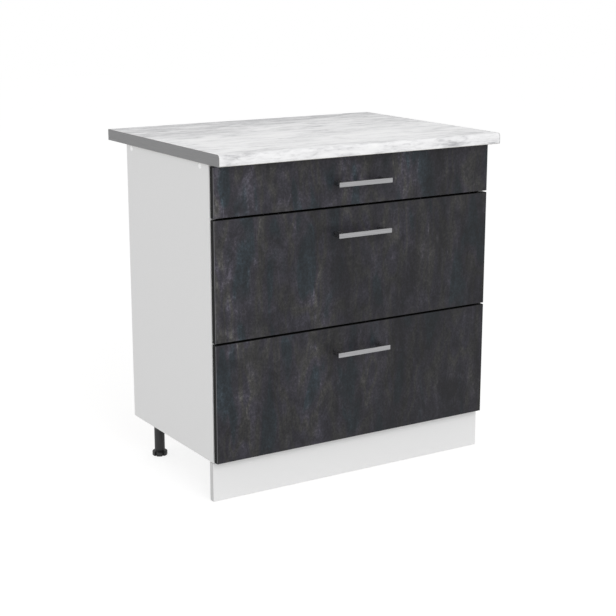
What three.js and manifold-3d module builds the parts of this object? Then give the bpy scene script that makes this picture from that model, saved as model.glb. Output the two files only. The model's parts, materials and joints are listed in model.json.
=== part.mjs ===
// A kitchen base cabinet with three drawers, 800 mm wide, under a 600 mm deep worktop.
// Millimetres. +Z is up, -Y is the front, and the origin is on the floor under the worktop's centre.
import * as THREE from "three";
import { mergeVertices } from "three/addons/utils/BufferGeometryUtils.js";
import Module from "manifold-3d";

const wasm = await Module();
wasm.setup();

// ---------------------------------------------------------------- driving sizes
const seat = 0.3; // gap left between two faces that touch
const bite = 0.5; // depth to which shapes of one piece are sunk into each other before they are joined

// carcass
const cabinetWidth = 800;
const carcassDepth = 440;
const carcassHeight = 720;
const boardThickness = 16;
const frontRailDepth = 84; // top rails, laid flat between the side panels
const backRailDepth = 58;
const backBoardThickness = 3;
const backInset = 12; // side panel's rear edge to the groove of the back board
const grooveDepth = 8;

// worktop
const worktopDepth = 600;
const worktopThickness = 28;
const worktopNose = 40; // overhang in front of the drawer fronts
const worktopEndOverhang = 4; // side panel's outer face to the end strip's outer face
const endStripThickness = 0.8;
const noseTopRadius = 9;
const noseBottomRadius = 3;

// legs and plinth
const legHeight = 100;
const legEndInset = 42; // cabinet's end to the leg's axis
const frontLegInset = 52; // carcass's front edge to the leg's axis
const backLegInset = 60;
const legTubeRadius = 13.5;
const legTubeWall = 2.8;
const legPlateSize = 60;
const legPlateCorner = 7.5;
const legPlateThickness = 5;
const legPlateHoleInset = 8; // plate's edge to the hole's centre
const legPlateHoleRadius = 2.2;
const legCollarRadius = 18;
const legCollarHeight = 12;
const legCollarTaper = 6;
const legRibWidth = 3;
const legRibHeight = 10;
const footRadius = 20;
const footThickness = 12;
const footRimChamfer = 1.5;
const footNeckRadius = 12.5;
const footNeckHeight = 3.2; // foot's upper face to the shoulder under the tube
const footNeckGap = 0.8; // shoulder to the tube's lower end
const footSpindleReach = 45; // length of spindle inside the tube
const footSpindleClearance = 0.6;
const footNotches = 6;
const footNotchWidth = 5;
const footNotchDepth = 6;
const plinthSetback = 2; // plinth's face behind the carcass's front edge
const plinthFloorGap = 1;
const plinthTopGap = 2;
const clipHeight = 16;
const clipDrop = 38; // carcass's underside to the clip's upper face
const clipWall = 3;
const clipMouthAngle = 100; // degrees left open at the clip's back
const clipNeckWidth = 12;
const clipPlateWidth = 40;
const clipPlateThickness = 3;

// drawer fronts and handles
const frontThickness = 16;
const frontEase = 0.8; // bevel round each face of a front
const frontGap = 4;
const frontEndReveal = 1.5; // cabinet's end to the front's edge
const frontBottomReveal = 2;
const frontTopReveal = 4;
const topFrontHeight = 120;
const bumperGap = 2; // carcass's front edge to a closed front
const handleHoleSpacing = 128;
const handleEndReach = 13; // hole's centre to the bar's end
const handleHeight = 12;
const handleThickness = 8;
const handleProjection = 35;
const handlePostWidth = 10;
const handleFilletRadius = 3;
const handleEase = 0.8;
const handleDrop = 63; // front's upper edge to the handle's centre line

// drawer boxes
const drawerTravel = 300;
const drawerSheet = 1.2;
const lowSideHeadroom = 12; // top drawer's side to the top rail over it
const lowBackDrop = 2; // top drawer's side to its back board's upper edge
const deepSideHeight = 86;
const deepBackHeight = 145;
const drawerBoardThickness = 16;
const flangeEdgeInset = 1; // roller's outer face to the running flange's edge
const flangeLipHeight = 2.5;
const supportFlangeWidth = 14.5; // inwards, under the drawer bottom
const frontFlangeWidth = 26;
const backFlangeWidth = 20;
const uprightDepth = 28; // rear bracket's width along the drawer
const beadWidth = 3.2;
const beadHeight = 7;
const earRadius = 5.8;
const rodRadius = 5;
const rodDrop = 13; // back board's upper edge to the rod's centre line
const rodEndRadius = 8;
const rodEndThickness = 5;
const rodHolderWidth = 12;
const rodHolderHeight = 18;
const rodHolderLength = 18;
const rodHolderGrip = 8; // how far the holder reaches over the rear bracket

// runners
const trackRise = 18; // front's lower edge to the surface that the drawer's roller runs on
const runnerSheet = 1.2;
const runnerSetback = 2; // rail's front end behind the carcass's front edge
const runnerRearSpace = 38; // rail's rear end to the carcass's rear edge
const rollerRadius = 8.5;
const rollerWidth = 6.5;
const axleTipGap = 1.3; // rail's web to the head of the drawer's axle
const rollerChamfer = 0.7;
const rollerHubRadius = 5.2;
const rollerHubRecess = 0.8;
const cabinetRollerLift = 0.6; // cabinet roller's rim above the track
const rollerEndDistance = 12; // roller's axis to the end of its rail or drawer side
const axleRadius = 2.8;
const axleClearance = 0.3;
const axleHeadRadius = 4.4;
const axleHeadThickness = 0.8;
const axleHeadGap = 0.4;
const channelMargin = 1.5; // roller's inner face to the channel's open edge
const drawerSideGap = 2.3; // channel's open edge to the drawer's side
const capWidth = 9;
const capClearance = 1;
const webRise = 8; // rail's web above its cap
const stopHeight = 8;
const stopGap = 0.5; // drawer's roller to the stop at full travel
const railHoleRadius = 2.2;

// rows of holes in the side panels, into which the rails are screwed
const holePitch = 32;
const holeRowInset = 37; // carcass's front edge to the front row
const rearRowInset = 83; // carcass's rear edge to the rear row
const railMiddleHole = 128; // first to second screw of a rail
const rowHoleRadius = 2.5;
const rowHoleDepth = 11;
const holesAboveRail = 4;

// ---------------------------------------------------------------- places that follow from them
const carcassBottom = legHeight;
const carcassTop = carcassBottom + carcassHeight;
const frontFace = -worktopDepth / 2 + worktopNose;
const carcassFront = frontFace + frontThickness + bumperGap;
const carcassBack = carcassFront + carcassDepth;
const innerHalf = cabinetWidth / 2 - boardThickness;
const grooveWidth = backBoardThickness + 2 * seat;
const grooveBack = carcassBack - backInset;
const grooveFront = grooveBack - grooveWidth;
const plinthFront = carcassFront + plinthSetback;
const plinthBack = plinthFront + boardThickness;
const frontLegY = carcassFront + frontLegInset;
const backLegY = carcassBack - backLegInset;
const legX = cabinetWidth / 2 - legEndInset;
const legTubeBottom = footThickness + footNeckHeight + footNeckGap;
const clipLevel = carcassBottom - clipDrop - clipHeight;

const frontBottom = carcassBottom + frontBottomReveal;
const frontTop = carcassTop - frontTopReveal;
const deepFrontHeight = (frontTop - frontBottom - topFrontHeight - 2 * frontGap) / 2;
const middleFrontBottom = frontBottom + deepFrontHeight + frontGap;
const topFrontBottom = middleFrontBottom + deepFrontHeight + frontGap;

// Distances across a runner are measured from the side panel's inner face.
const railWebInner = seat + runnerSheet;
const rollerInset = railWebInner + axleTipGap + axleHeadThickness + axleHeadGap;
const channelWidth = rollerInset + rollerWidth + channelMargin;
const runnerSpace = channelWidth + drawerSideGap + drawerSheet;

// Runners and drawers are drawn from the front's face (y) and its lower edge (z).
const runnerLength = carcassDepth - runnerSetback - runnerRearSpace;
const holeRowSpacing = carcassDepth - holeRowInset - rearRowInset;
const railFront = frontThickness + bumperGap + runnerSetback;
const sideFront = frontThickness + seat;
const sideBack = sideFront + runnerLength;
const cabinetRollerY = railFront + rollerEndDistance;
const cabinetRollerZ = trackRise + cabinetRollerLift + rollerRadius;
const drawerRollerY = sideBack - rollerEndDistance;
const drawerRollerZ = trackRise + seat + rollerRadius;
const flangeLevel = cabinetRollerZ + rollerRadius + seat;
const capLevel = flangeLevel + drawerSheet + flangeLipHeight + capClearance;
const drawerFloor = flangeLevel + drawerSheet + seat;
const drawerFloorTop = drawerFloor + drawerBoardThickness;
const backBoardRear = sideBack - drawerSheet - seat;
const drawerInnerHalf = innerHalf - runnerSpace - seat;
const beadRadius = beadWidth / 2;
const topRailLevel = topFrontHeight + frontTopReveal - boardThickness;
const lowSideHeight = topRailLevel - lowSideHeadroom - flangeLevel;
const lowBackHeight = flangeLevel + lowSideHeight - lowBackDrop - drawerFloorTop - seat;
const screwLevel = (trackRise + capLevel) / 2;

const deep = { height: deepFrontHeight, sideHeight: deepSideHeight, backHeight: deepBackHeight, rods: true };
const drawers = {
  top: {
    bottom: topFrontBottom,
    height: topFrontHeight,
    sideHeight: lowSideHeight,
    backHeight: lowBackHeight,
    rods: false,
  },
  middle: { bottom: middleFrontBottom, ...deep },
  bottom: { bottom: frontBottom, ...deep },
};

// ---------------------------------------------------------------- shapes
const circleSteps = 24;
const rollerSteps = 16;
const smallSteps = 12;
const holeSteps = 6;
const arcSteps = 5;
const filletSteps = 3;

function solidOf(geometry) {
  const bare = geometry.clone();
  bare.deleteAttribute("normal");
  bare.deleteAttribute("uv");
  const merged = mergeVertices(bare, 1e-4);
  return new wasm.Manifold(
    new wasm.Mesh({
      numProp: 3,
      vertProperties: merged.attributes.position.array,
      triVerts: new Uint32Array(merged.index.array),
    }),
  );
}

function geometryOf(solid) {
  const mesh = solid.getMesh();
  const geometry = new THREE.BufferGeometry();
  geometry.setAttribute("position", new THREE.BufferAttribute(mesh.vertProperties, 3));
  geometry.setIndex(new THREE.BufferAttribute(mesh.triVerts, 1));
  const faceted = geometry.toNonIndexed();
  faceted.computeVertexNormals();
  return faceted;
}

function join(...geometries) {
  return geometryOf(geometries.map(solidOf).reduce((whole, next) => whole.add(next)));
}

function cut(geometry, ...cutters) {
  return geometryOf(cutters.map(solidOf).reduce((whole, next) => whole.subtract(next), solidOf(geometry)));
}

// A box between two corners; the corners may come in any order.
function block([x0, x1], [y0, y1], [z0, z1]) {
  return new THREE.BoxGeometry(Math.abs(x1 - x0), Math.abs(y1 - y0), Math.abs(z1 - z0)).translate(
    (x0 + x1) / 2,
    (y0 + y1) / 2,
    (z0 + z1) / 2,
  );
}

function shapeOf(points) {
  return new THREE.Shape(points.map(([u, v]) => new THREE.Vector2(u, v)));
}

// Points on an arc from one angle to another, in degrees.
function arc(u, v, radius, from, to, steps = arcSteps) {
  return Array.from({ length: steps + 1 }, (_, i) => {
    const angle = THREE.MathUtils.degToRad(from + ((to - from) * i) / steps);
    return [u + radius * Math.cos(angle), v + radius * Math.sin(angle)];
  });
}

function circle(u, v, radius, steps = smallSteps) {
  return arc(u, v, radius, 0, 360, steps).slice(0, -1);
}

function plain(shape, depth) {
  return new THREE.ExtrudeGeometry(shape, { depth, bevelEnabled: false });
}

// An outline with its two faces bevelled; the outline and the depth are the outer sizes.
function eased(shape, depth, bevel) {
  return new THREE.ExtrudeGeometry(shape, {
    depth: depth - 2 * bevel,
    bevelEnabled: true,
    bevelThickness: bevel,
    bevelSize: bevel,
    bevelOffset: -bevel,
    bevelSegments: 1,
  }).translate(0, 0, bevel);
}

// Three ways to lay an extrusion: outlines in (y, z), (x, z) and (x, y).
const upOutOfYZ = new THREE.Matrix4().makeBasis(
  new THREE.Vector3(0, 1, 0),
  new THREE.Vector3(0, 0, 1),
  new THREE.Vector3(1, 0, 0),
);

function alongX(extrusion, x0) {
  return extrusion.applyMatrix4(upOutOfYZ).translate(x0, 0, 0);
}

function alongY(extrusion, y1) {
  return extrusion.rotateX(Math.PI / 2).translate(0, y1, 0);
}

function alongZ(extrusion, z0) {
  return extrusion.translate(0, 0, z0);
}

// A round pin along X, from x0 to x1.
function pinX(radius, [x0, x1], y, z, steps = smallSteps) {
  return new THREE.CylinderGeometry(radius, radius, Math.abs(x1 - x0), steps)
    .rotateZ(Math.PI / 2)
    .translate((x0 + x1) / 2, y, z);
}

// A revolved profile of [radius, height] points about Z.
function turned(points, steps = circleSteps) {
  return new THREE.LatheGeometry(
    points.map(([r, h]) => new THREE.Vector2(r, h)),
    steps,
  ).rotateX(Math.PI / 2);
}

// ---------------------------------------------------------------- finishes
const finish = (color, roughness, metalness = 0) =>
  new THREE.MeshStandardMaterial({ color, roughness, metalness });

const marbleLaminate = finish(0xe4e4e4, 0.35);
const stripGrey = finish(0x868686, 0.5);
const whiteMelamine = finish(0xe2e2e2, 0.55);
const concreteDecor = finish(0x3c3c3c, 0.6);
const satinNickel = finish(0xb4b4b6, 0.3, 1);
const whiteSteel = finish(0xd9dad8, 0.45, 0.2);
const blackPlastic = finish(0x262626, 0.6);
const rollerPlastic = finish(0xe8e8e4, 0.5);
const hardboard = finish(0xdcdcda, 0.7);

function piece(name, geometry, material) {
  const mesh = new THREE.Mesh(geometry, material);
  mesh.name = name;
  return mesh;
}

const sides = [
  ["left", -1],
  ["right", 1],
];

// ---------------------------------------------------------------- worktop
function worktopOutline() {
  const back = worktopDepth / 2;
  const front = -back;
  const bottom = carcassTop + seat;
  const top = carcassTop + worktopThickness;
  return shapeOf([
    [back, bottom],
    [back, top],
    ...arc(front + noseTopRadius, top - noseTopRadius, noseTopRadius, 90, 180),
    ...arc(front + noseBottomRadius, bottom + noseBottomRadius, noseBottomRadius, 180, 270),
  ]);
}

function worktop() {
  const group = new THREE.Group();
  const stripOuter = cabinetWidth / 2 + worktopEndOverhang;
  const stripInner = stripOuter - endStripThickness;
  const half = stripInner - seat;
  group.add(piece("worktop", alongX(plain(worktopOutline(), 2 * half), -half), marbleLaminate));
  for (const [name, side] of sides) {
    const start = side > 0 ? stripInner : -stripOuter;
    const strip = alongX(plain(worktopOutline(), endStripThickness), start);
    group.add(piece(`worktop_end_strip_${name}`, strip, stripGrey));
  }
  return group;
}

// ---------------------------------------------------------------- carcass
// The panel's plan has the groove for the back board; rows of blind holes take the rails' screws.
function sidePanel(side) {
  const outer = (side * cabinetWidth) / 2;
  const inner = side * innerHalf;
  const grooveBottom = side * (innerHalf + grooveDepth);
  const plan = shapeOf([
    [outer, carcassFront],
    [inner, carcassFront],
    [inner, grooveFront],
    [grooveBottom, grooveFront],
    [grooveBottom, grooveBack],
    [inner, grooveBack],
    [inner, carcassBack],
    [outer, carcassBack],
  ]);
  const span = [inner - side * bite, inner + side * rowHoleDepth];
  const highest = carcassTop - boardThickness - holePitch / 2;
  const holes = [];
  for (const { bottom } of Object.values(drawers)) {
    for (let i = 1; i <= holesAboveRail; i++) {
      const z = bottom + screwLevel + i * holePitch;
      if (z > highest) continue;
      for (const row of [0, holeRowSpacing]) {
        holes.push(pinX(rowHoleRadius, span, carcassFront + holeRowInset + row, z, holeSteps));
      }
    }
  }
  return cut(alongZ(plain(plan, carcassHeight), carcassBottom), ...holes);
}

function carcass() {
  const group = new THREE.Group();
  const between = [-innerHalf + seat, innerHalf - seat];
  const railLevel = [carcassTop - boardThickness, carcassTop];
  const boards = {
    bottom_panel: [
      between,
      [carcassFront, grooveFront - seat],
      [carcassBottom, carcassBottom + boardThickness],
    ],
    top_rail_front: [between, [carcassFront, carcassFront + frontRailDepth], railLevel],
    top_rail_back: [between, [carcassBack - backRailDepth, carcassBack], railLevel],
  };
  for (const [name, side] of sides) {
    group.add(piece(`side_panel_${name}`, sidePanel(side), whiteMelamine));
  }
  for (const [name, extents] of Object.entries(boards)) {
    group.add(piece(name, block(...extents), whiteMelamine));
  }
  const backHalf = innerHalf + grooveDepth - seat;
  const backBoard = block(
    [-backHalf, backHalf],
    [grooveFront + seat, grooveBack - seat],
    [carcassBottom, railLevel[0] - seat],
  );
  group.add(piece("back_panel", backBoard, hardboard));
  return group;
}

// ---------------------------------------------------------------- legs and plinth
// Base plate, ribbed collar and tube of a leg, drawn round the leg's own axis on the floor.
function legSocket() {
  const plateTop = legHeight - seat;
  const plateBottom = plateTop - legPlateThickness;
  const half = legPlateSize / 2;
  const centre = half - legPlateCorner;
  const holeAt = half - legPlateHoleInset;
  const plate = shapeOf([
    ...arc(centre, centre, legPlateCorner, 0, 90, filletSteps),
    ...arc(-centre, centre, legPlateCorner, 90, 180, filletSteps),
    ...arc(-centre, -centre, legPlateCorner, 180, 270, filletSteps),
    ...arc(centre, -centre, legPlateCorner, 270, 360, filletSteps),
  ]);
  for (const x of [-1, 1]) {
    for (const y of [-1, 1]) {
      const hole = circle(x * holeAt, y * holeAt, legPlateHoleRadius, holeSteps);
      plate.holes.push(new THREE.Path(hole.map(([u, v]) => new THREE.Vector2(u, v))));
    }
  }
  const collarBottom = plateBottom - legCollarHeight;
  const body = turned([
    [0, legTubeBottom],
    [legTubeRadius, legTubeBottom],
    [legTubeRadius, collarBottom - legCollarTaper],
    [legCollarRadius, collarBottom],
    [legCollarRadius, plateBottom + bite],
    [0, plateBottom + bite],
  ]);
  const ribs = [0, 1].map((turn) =>
    block(
      [-centre, centre],
      [-legRibWidth / 2, legRibWidth / 2],
      [plateBottom - legRibHeight, plateBottom + bite],
    ).rotateZ((turn * Math.PI) / 2),
  );
  const bore = turned([
    [0, legTubeBottom - bite],
    [legTubeRadius - legTubeWall, legTubeBottom - bite],
    [legTubeRadius - legTubeWall, plateBottom - bite],
    [0, plateBottom - bite],
  ]);
  return cut(join(alongZ(plain(plate, legPlateThickness), plateBottom), body, ...ribs), bore);
}

// Foot with its spindle, and notches in the rim for a wrench.
function foot() {
  const spindle = legTubeRadius - legTubeWall - footSpindleClearance;
  const shoulder = footThickness + footNeckHeight;
  const body = turned([
    [0, 0],
    [footRadius - footRimChamfer, 0],
    [footRadius, footRimChamfer],
    [footRadius, footThickness - footRimChamfer],
    [footRadius - footRimChamfer, footThickness],
    [footNeckRadius, footThickness],
    [footNeckRadius, shoulder],
    [spindle, shoulder],
    [spindle, legTubeBottom + footSpindleReach],
    [0, legTubeBottom + footSpindleReach],
  ]);
  const notches = Array.from({ length: footNotches }, (_, i) =>
    block(
      [footRadius - footNotchDepth, footRadius + bite],
      [-footNotchWidth / 2, footNotchWidth / 2],
      [-bite, footThickness + bite],
    ).rotateZ(((i + 0.5) * 2 * Math.PI) / footNotches),
  );
  return cut(body, ...notches);
}

// Clip round a front leg: a ring open at the back, on a plate against the plinth.
function plinthClip() {
  const inner = legTubeRadius + seat;
  const outer = inner + clipWall;
  const from = 90 + clipMouthAngle / 2;
  const to = 450 - clipMouthAngle / 2;
  const ring = shapeOf([
    ...arc(0, 0, outer, from, to, circleSteps),
    ...arc(0, 0, inner, to, from, circleSteps),
  ]);
  const plateFront = plinthBack + seat - frontLegY;
  const plateBack = plateFront + clipPlateThickness;
  const levels = [clipLevel, clipLevel + clipHeight];
  return join(
    alongZ(plain(ring, clipHeight), clipLevel),
    block([-clipNeckWidth / 2, clipNeckWidth / 2], [plateBack - bite, bite - inner - clipWall / 2], levels),
    block([-clipPlateWidth / 2, clipPlateWidth / 2], [plateFront, plateBack], levels),
  );
}

function base() {
  const group = new THREE.Group();
  const plinth = block(
    [-cabinetWidth / 2, cabinetWidth / 2],
    [plinthFront, plinthBack],
    [plinthFloorGap, carcassBottom - plinthTopGap],
  );
  group.add(piece("plinth_board", plinth, whiteMelamine));
  for (const [sideName, side] of sides) {
    for (const [endName, y] of [
      ["front", frontLegY],
      ["back", backLegY],
    ]) {
      const leg = new THREE.Group();
      leg.position.set(side * legX, y, 0);
      leg.add(piece(`leg_socket_${endName}_${sideName}`, legSocket(), blackPlastic));
      leg.add(piece(`foot_${endName}_${sideName}`, foot(), blackPlastic));
      if (endName === "front") leg.add(piece(`plinth_clip_${sideName}`, plinthClip(), blackPlastic));
      group.add(leg);
    }
  }
  return group;
}

// ---------------------------------------------------------------- runners
// A place across a runner, given its distance from the side panel's inner face.
const across = (side, distance) => side * (innerHalf - distance);

function section(side, points) {
  return shapeOf(points.map(([distance, z]) => [across(side, distance), z]));
}

function cabinetRail(side) {
  const web = railWebInner;
  const capTop = capLevel + runnerSheet;
  const channel = section(side, [
    [seat, trackRise - runnerSheet],
    [channelWidth, trackRise - runnerSheet],
    [channelWidth, trackRise],
    [web, trackRise],
    [web, capLevel],
    [capWidth, capLevel],
    [capWidth, capTop],
    [web, capTop],
    [web, capTop + webRise],
    [seat, capTop + webRise],
  ]);
  const axleEnd = rollerInset + rollerWidth + axleHeadGap;
  const stopBack = drawerRollerY - drawerTravel - rollerRadius - stopGap;
  const firstHole = frontThickness + bumperGap + holeRowInset;
  const holes = [firstHole, firstHole + railMiddleHole, firstHole + holeRowSpacing].map((y) =>
    pinX(railHoleRadius, [across(side, -bite), across(side, web + bite)], y, screwLevel, holeSteps),
  );
  const rail = join(
    alongY(plain(channel, runnerLength), railFront + runnerLength),
    pinX(
      axleRadius,
      [across(side, web - bite), across(side, axleEnd + axleHeadThickness)],
      cabinetRollerY,
      cabinetRollerZ,
    ),
    pinX(
      axleHeadRadius,
      [across(side, axleEnd), across(side, axleEnd + axleHeadThickness)],
      cabinetRollerY,
      cabinetRollerZ,
    ),
    block(
      [across(side, rollerInset), across(side, rollerInset + rollerWidth)],
      [stopBack - runnerSheet, stopBack],
      [trackRise - runnerSheet / 2, trackRise + stopHeight],
    ),
  );
  return cut(rail, ...holes);
}

// Roller about its own X axis, with a chamfered rim, a recessed hub and a bore.
function roller() {
  const half = rollerWidth / 2;
  const bore = axleRadius + axleClearance;
  const profile = [
    [bore, -half],
    [rollerRadius - rollerChamfer, -half],
    [rollerRadius, -half + rollerChamfer],
    [rollerRadius, half - rollerChamfer],
    [rollerRadius - rollerChamfer, half],
    [rollerHubRadius, half],
    [rollerHubRadius, half - rollerHubRecess],
    [bore, half - rollerHubRecess],
    [bore, -half],
  ];
  return turned(profile, rollerSteps).rotateY(Math.PI / 2);
}

function placedRoller(name, side, y, z) {
  const mesh = piece(name, roller(), rollerPlastic);
  mesh.position.set(across(side, rollerInset + rollerWidth / 2), y, z);
  return mesh;
}

// ---------------------------------------------------------------- drawers
// Folded steel side: running flange outwards, support flange inwards, wall with a rolled edge.
function drawerSideSection(side, height) {
  const flangeEdge = rollerInset + flangeEdgeInset;
  const supportEdge = runnerSpace + supportFlangeWidth;
  const wallOuter = runnerSpace - drawerSheet;
  const floor = flangeLevel + drawerSheet;
  const top = flangeLevel + height;
  return section(side, [
    [flangeEdge, flangeLevel],
    [supportEdge, flangeLevel],
    [supportEdge, floor],
    [runnerSpace, floor],
    ...arc(runnerSpace - beadRadius, top - beadRadius, beadRadius, 0, 180, arcSteps + 1),
    [runnerSpace - beadWidth, top - beadHeight],
    [wallOuter, top - beadHeight],
    [wallOuter, floor],
    [flangeEdge + drawerSheet, floor],
    [flangeEdge + drawerSheet, floor + flangeLipHeight],
    [flangeEdge, floor + flangeLipHeight],
  ]);
}

function drawerSide(side, height, backTop) {
  const wall = [across(side, runnerSpace - drawerSheet), across(side, runnerSpace)];
  const axleTip = rollerInset - axleHeadGap - axleHeadThickness;
  const ear = shapeOf([
    [drawerRollerY + earRadius, flangeLevel + drawerSheet / 2],
    [drawerRollerY - earRadius, flangeLevel + drawerSheet / 2],
    ...arc(drawerRollerY, drawerRollerZ, earRadius, 180, 360, smallSteps / 2),
  ]);
  const frontFlangeTop = flangeLevel + height - beadHeight;
  return join(
    alongY(plain(drawerSideSection(side, height), runnerLength), sideBack),
    block(
      [wall[0], across(side, runnerSpace + frontFlangeWidth)],
      [sideFront, sideFront + drawerSheet],
      [flangeLevel, frontFlangeTop],
    ),
    block(wall, [sideBack - uprightDepth, sideBack], [flangeLevel, backTop]),
    block(
      [wall[0], across(side, runnerSpace + backFlangeWidth)],
      [sideBack - drawerSheet, sideBack],
      [flangeLevel, backTop],
    ),
    alongX(plain(ear, drawerSheet), Math.min(...wall)),
    pinX(
      axleRadius,
      [across(side, runnerSpace - drawerSheet / 2), across(side, axleTip)],
      drawerRollerY,
      drawerRollerZ,
    ),
    pinX(
      axleHeadRadius,
      [across(side, axleTip + axleHeadThickness), across(side, axleTip)],
      drawerRollerY,
      drawerRollerZ,
    ),
  );
}

// Rod over a drawer side, with a ferrule at the front and a forked holder on the rear bracket.
function galleryRod(side, backTop) {
  const z = backTop - rodDrop;
  const x = across(side, runnerSpace - drawerSheet / 2);
  const holderFront = sideBack - uprightDepth - rodHolderLength + rodHolderGrip;
  const rodLine = (radius, y0, y1) =>
    new THREE.CylinderGeometry(radius, radius, y1 - y0, smallSteps).translate(x, (y0 + y1) / 2, z);
  const holder = block(
    [x - rodHolderWidth / 2, x + rodHolderWidth / 2],
    [holderFront, holderFront + rodHolderLength],
    [z - rodHolderHeight / 2, z + rodHolderHeight / 2],
  );
  const slot = block(
    [x - drawerSheet / 2 - seat, x + drawerSheet / 2 + seat],
    [sideBack - uprightDepth - seat, sideBack],
    [z - rodHolderHeight, z + rodHolderHeight],
  );
  return join(
    rodLine(rodRadius, sideFront, holderFront + bite),
    rodLine(rodEndRadius, sideFront, sideFront + rodEndThickness),
    cut(holder, slot),
  );
}

function drawerFront(height) {
  const half = cabinetWidth / 2 - frontEndReveal;
  const outline = shapeOf([
    [-half, 0],
    [half, 0],
    [half, height],
    [-half, height],
  ]);
  return alongY(eased(outline, frontThickness, frontEase), frontThickness);
}

// Flat bar on two posts, drawn in plan with fillets where the posts leave the bar.
function handle(height) {
  const post = handleHoleSpacing / 2;
  const half = post + handleEndReach;
  const postHalf = handlePostWidth / 2;
  const barFront = -handleProjection;
  const barBack = barFront + handleThickness;
  const r = handleFilletRadius;
  const plan = shapeOf([
    [-half, barFront],
    [half, barFront],
    [half, barBack],
    ...arc(post + postHalf + r, barBack + r, r, 270, 180, filletSteps),
    [post + postHalf, -seat],
    [post - postHalf, -seat],
    ...arc(post - postHalf - r, barBack + r, r, 0, -90, filletSteps),
    ...arc(-post + postHalf + r, barBack + r, r, 270, 180, filletSteps),
    [-post + postHalf, -seat],
    [-post - postHalf, -seat],
    ...arc(-post - postHalf - r, barBack + r, r, 0, -90, filletSteps),
    [-half, barBack],
  ]);
  const middle = height - handleDrop;
  return alongZ(eased(plan, handleHeight, handleEase), middle - handleHeight / 2);
}

function drawer(name, spec) {
  const group = new THREE.Group();
  group.position.set(0, frontFace, spec.bottom);
  const backTop = drawerFloorTop + seat + spec.backHeight;
  group.add(piece(`${name}_drawer_front`, drawerFront(spec.height), concreteDecor));
  group.add(piece(`${name}_drawer_handle`, handle(spec.height), satinNickel));
  const board = [-drawerInnerHalf, drawerInnerHalf];
  const floorBoard = block(
    board,
    [sideFront + drawerSheet + seat, backBoardRear],
    [drawerFloor, drawerFloorTop],
  );
  const backBoard = block(
    board,
    [backBoardRear - drawerBoardThickness, backBoardRear],
    [drawerFloorTop + seat, backTop],
  );
  group.add(piece(`${name}_drawer_bottom`, floorBoard, whiteMelamine));
  group.add(piece(`${name}_drawer_back`, backBoard, whiteMelamine));
  for (const [sideName, side] of sides) {
    const steelSide = drawerSide(side, spec.sideHeight, backTop);
    group.add(piece(`${name}_drawer_side_${sideName}`, steelSide, whiteSteel));
    group.add(piece(`${name}_cabinet_rail_${sideName}`, cabinetRail(side), whiteSteel));
    group.add(
      placedRoller(`${name}_cabinet_roller_${sideName}`, side, cabinetRollerY, cabinetRollerZ),
      placedRoller(`${name}_drawer_roller_${sideName}`, side, drawerRollerY, drawerRollerZ),
    );
    if (spec.rods) group.add(piece(`${name}_drawer_rod_${sideName}`, galleryRod(side, backTop), whiteSteel));
  }
  return group;
}

const cabinet = new THREE.Group();
cabinet.add(worktop(), carcass(), base());
for (const [name, spec] of Object.entries(drawers)) {
  cabinet.add(drawer(name, spec));
}

export default cabinet;
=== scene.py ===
# %% [markdown]
# # A kitchen base cabinet with three drawers
# The construction is fixed: a frame file holds every board, runner, roller and leg at its real
# size and place. This script dresses that frame. It gives each board its edges, each surface its
# finish, and adds the small things that the frame leaves out, such as screws and caps.
# Everything is in metres, +Z is up and the drawer fronts face -Y.

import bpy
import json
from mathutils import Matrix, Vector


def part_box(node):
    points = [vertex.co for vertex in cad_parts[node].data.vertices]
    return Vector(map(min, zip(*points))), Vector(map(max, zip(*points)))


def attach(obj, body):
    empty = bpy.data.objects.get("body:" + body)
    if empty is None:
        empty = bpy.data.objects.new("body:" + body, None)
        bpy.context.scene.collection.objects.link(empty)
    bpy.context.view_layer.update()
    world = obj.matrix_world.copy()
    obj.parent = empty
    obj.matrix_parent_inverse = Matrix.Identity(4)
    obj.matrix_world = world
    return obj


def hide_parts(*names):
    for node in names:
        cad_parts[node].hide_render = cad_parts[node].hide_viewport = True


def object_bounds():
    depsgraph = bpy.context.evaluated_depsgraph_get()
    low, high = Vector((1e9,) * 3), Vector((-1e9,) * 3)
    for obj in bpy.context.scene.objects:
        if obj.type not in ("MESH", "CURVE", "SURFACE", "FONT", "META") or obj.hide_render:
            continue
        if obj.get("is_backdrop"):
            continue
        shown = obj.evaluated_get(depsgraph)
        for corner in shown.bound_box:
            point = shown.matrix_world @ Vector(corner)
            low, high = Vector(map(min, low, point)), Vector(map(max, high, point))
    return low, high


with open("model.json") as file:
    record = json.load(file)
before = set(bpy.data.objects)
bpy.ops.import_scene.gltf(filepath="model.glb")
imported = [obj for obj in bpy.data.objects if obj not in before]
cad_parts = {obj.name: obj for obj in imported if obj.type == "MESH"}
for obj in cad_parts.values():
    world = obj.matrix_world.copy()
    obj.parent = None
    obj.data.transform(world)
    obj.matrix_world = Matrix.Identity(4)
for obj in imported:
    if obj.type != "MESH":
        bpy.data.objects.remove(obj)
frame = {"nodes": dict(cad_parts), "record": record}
frame_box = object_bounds()

# %% [markdown]
# The frame's record says which body each node moves with and which finish it belongs to.
# A small table makes the body easy to look up, so that a dressed piece can follow its node.

# %% Tables and units
import json
import math

import bmesh
import bpy
from mathutils import Vector

MM = 0.001
RECORD = frame["record"]
BODY_OF = {node: body for body, nodes in RECORD["behaviour"]["bodies"].items() for node in nodes}
SIDES = {"left": -1, "right": 1}
DRAWERS = ("top", "middle", "bottom")
DEEP_DRAWERS = ("middle", "bottom")
LEGS = [f"{end}_{side}" for end in ("front", "back") for side in SIDES]

# %% [markdown]
# ## Camera
# The picture is a long-lens view from the front left, a little above the worktop. A longer lens
# keeps the cabinet's verticals nearly upright without a lens shift, so the camera can walk
# round the cabinet and still have it in the middle of the picture.

# %% Camera
EYE = (-1.913, -3.100, 1.273)
HEADING, TILT = math.radians(-31.92), math.radians(-13.75)
LENS, SENSOR = 83.15, 36.0  # mm

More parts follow.
